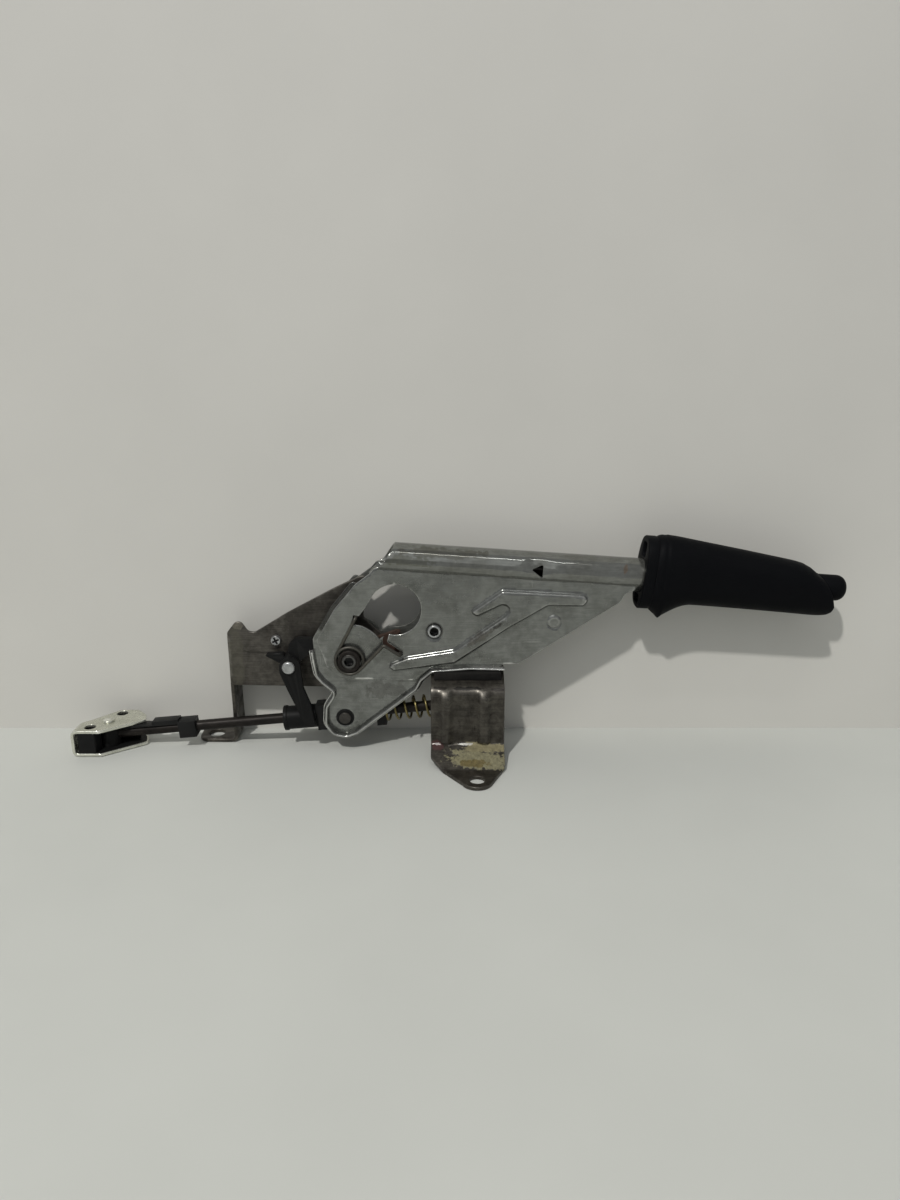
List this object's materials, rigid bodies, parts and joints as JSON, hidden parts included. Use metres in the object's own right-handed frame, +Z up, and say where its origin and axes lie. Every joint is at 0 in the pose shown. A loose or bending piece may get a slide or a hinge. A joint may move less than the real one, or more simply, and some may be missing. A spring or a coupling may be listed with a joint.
{
  "type": "parking brake lever",
  "caption": "Hand parking brake lever with release button, ratchet, return spring, cable adjuster and equaliser on a bolted floor bracket.",
  "frame": {"origin": "centre of the rear foot's bolt hole on its underside", "axes": "+X along the lever from the equaliser to the grip, +Z up from the floor, -Y towards the side with the return spring"},
  "size_m": [0.5077, 0.091, 0.1477],
  "materials": {
    "zinc_sheet": "zinc plated sheet, satin with grey stains",
    "bare_steel": "uncoated hot rolled sheet, brown grey, lightly stained",
    "dark_steel": "dark oiled steel",
    "bright_steel": "bright zinc",
    "yellow_zinc": "faintly yellow zinc",
    "grip_plastic": "soft matt black with a fine grain",
    "black_plastic": "smooth black moulding",
    "stop_rubber": "matt rubber"
  },
  "bodies": {
    "bracket": {"bracket_plate": "bare_steel", "front_foot": "bare_steel", "rear_foot": "bare_steel", "ratchet_sector": "dark_steel", "sector_rivets": "bright_steel", "pivot_pin": "bright_steel", "spring_guide": "dark_steel", "pivot_clip": "bright_steel", "pivot_spacer": "bright_steel", "hook_pin": "bright_steel", "stop_screw": "bright_steel", "stop_buffer": "stop_rubber", "return_spring": "dark_steel"},
    "lever": {"lever_body": "zinc_sheet", "ear_plate_front": "zinc_sheet", "ear_plate_rear": "zinc_sheet", "lever_bushes": "black_plastic", "pawl_rivet": "bright_steel", "pawl_spacers": "bright_steel", "grip": "grip_plastic", "button_spring_seat": "black_plastic", "button_spring": "dark_steel", "trunnion_bushes": "black_plastic"},
    "button": {"push_button": "grip_plastic", "push_rod": "dark_steel"},
    "pawl": {"pawl": "dark_steel"},
    "trunnion": {"trunnion": "dark_steel", "adjuster_housing": "black_plastic", "housing_flange": "black_plastic", "adjuster_seat": "black_plastic", "adjuster_spring": "dark_steel"},
    "rod": {"pull_rod": "dark_steel", "rod_retainer": "black_plastic", "end_washer": "dark_steel", "end_nut": "dark_steel"},
    "equaliser": {"equaliser_strap": "yellow_zinc", "equaliser_pin": "bright_steel", "cable_inserts": "black_plastic"},
    "hook_lever": {"hook_lever": "black_plastic"}
  },
  "joints": [
    {"name": "lever_pivot", "type": "hinge", "parent": "bracket", "child": "lever", "pos_m": [-0.0825, 0.053, 0.067], "axis": [0, -1, 0], "range_deg": [0, 42], "stiffness_Nm_per_rad": 0.4, "springref_deg": -34.38, "deforming": ["return_spring"]},
    {"name": "button_slide", "type": "slide", "parent": "lever", "child": "button", "axis": [-0.9977, 0, 0.0671], "range_m": [0, 0.007], "stiffness_N_per_m": 500, "springref_m": -0.004, "deforming": ["button_spring"]},
    {"name": "pawl_pivot", "type": "hinge", "parent": "lever", "child": "pawl", "pos_m": [-0.0272, 0.053, 0.0862], "axis": [0, -1, 0], "range_deg": [0, 9.17]},
    {"name": "trunnion_pivot", "type": "hinge", "parent": "lever", "child": "trunnion", "pos_m": [-0.0871, 0.053, 0.0247], "axis": [0, -1, 0], "range_deg": [-42, 0]},
    {"name": "adjuster_slide", "type": "slide", "parent": "trunnion", "child": "rod", "axis": [-0.9957, 0, -0.0924], "range_m": [0, 0.02], "stiffness_N_per_m": 300, "springref_m": -0.012, "deforming": ["adjuster_spring"]},
    {"name": "equaliser_pivot", "type": "hinge", "parent": "rod", "child": "equaliser", "pos_m": [-0.2485, 0.052, 0.00973], "axis": [0, 0, 1], "range_deg": [-8, 50]},
    {"name": "hook_pivot", "type": "hinge", "parent": "bracket", "child": "hook_lever", "pos_m": [-0.1223, 0.053, 0.0622], "axis": [0, 1, 0], "range_deg": [0, 8], "stiffness_Nm_per_rad": 0.02, "springref_deg": -28.65}
  ],
  "couplings": [
    {"joint": "pawl_pivot", "follows": "button_slide", "rad_per_m": 22.738},
    {"joint": "trunnion_pivot", "follows": "lever_pivot", "ratio": -1}
  ]
}
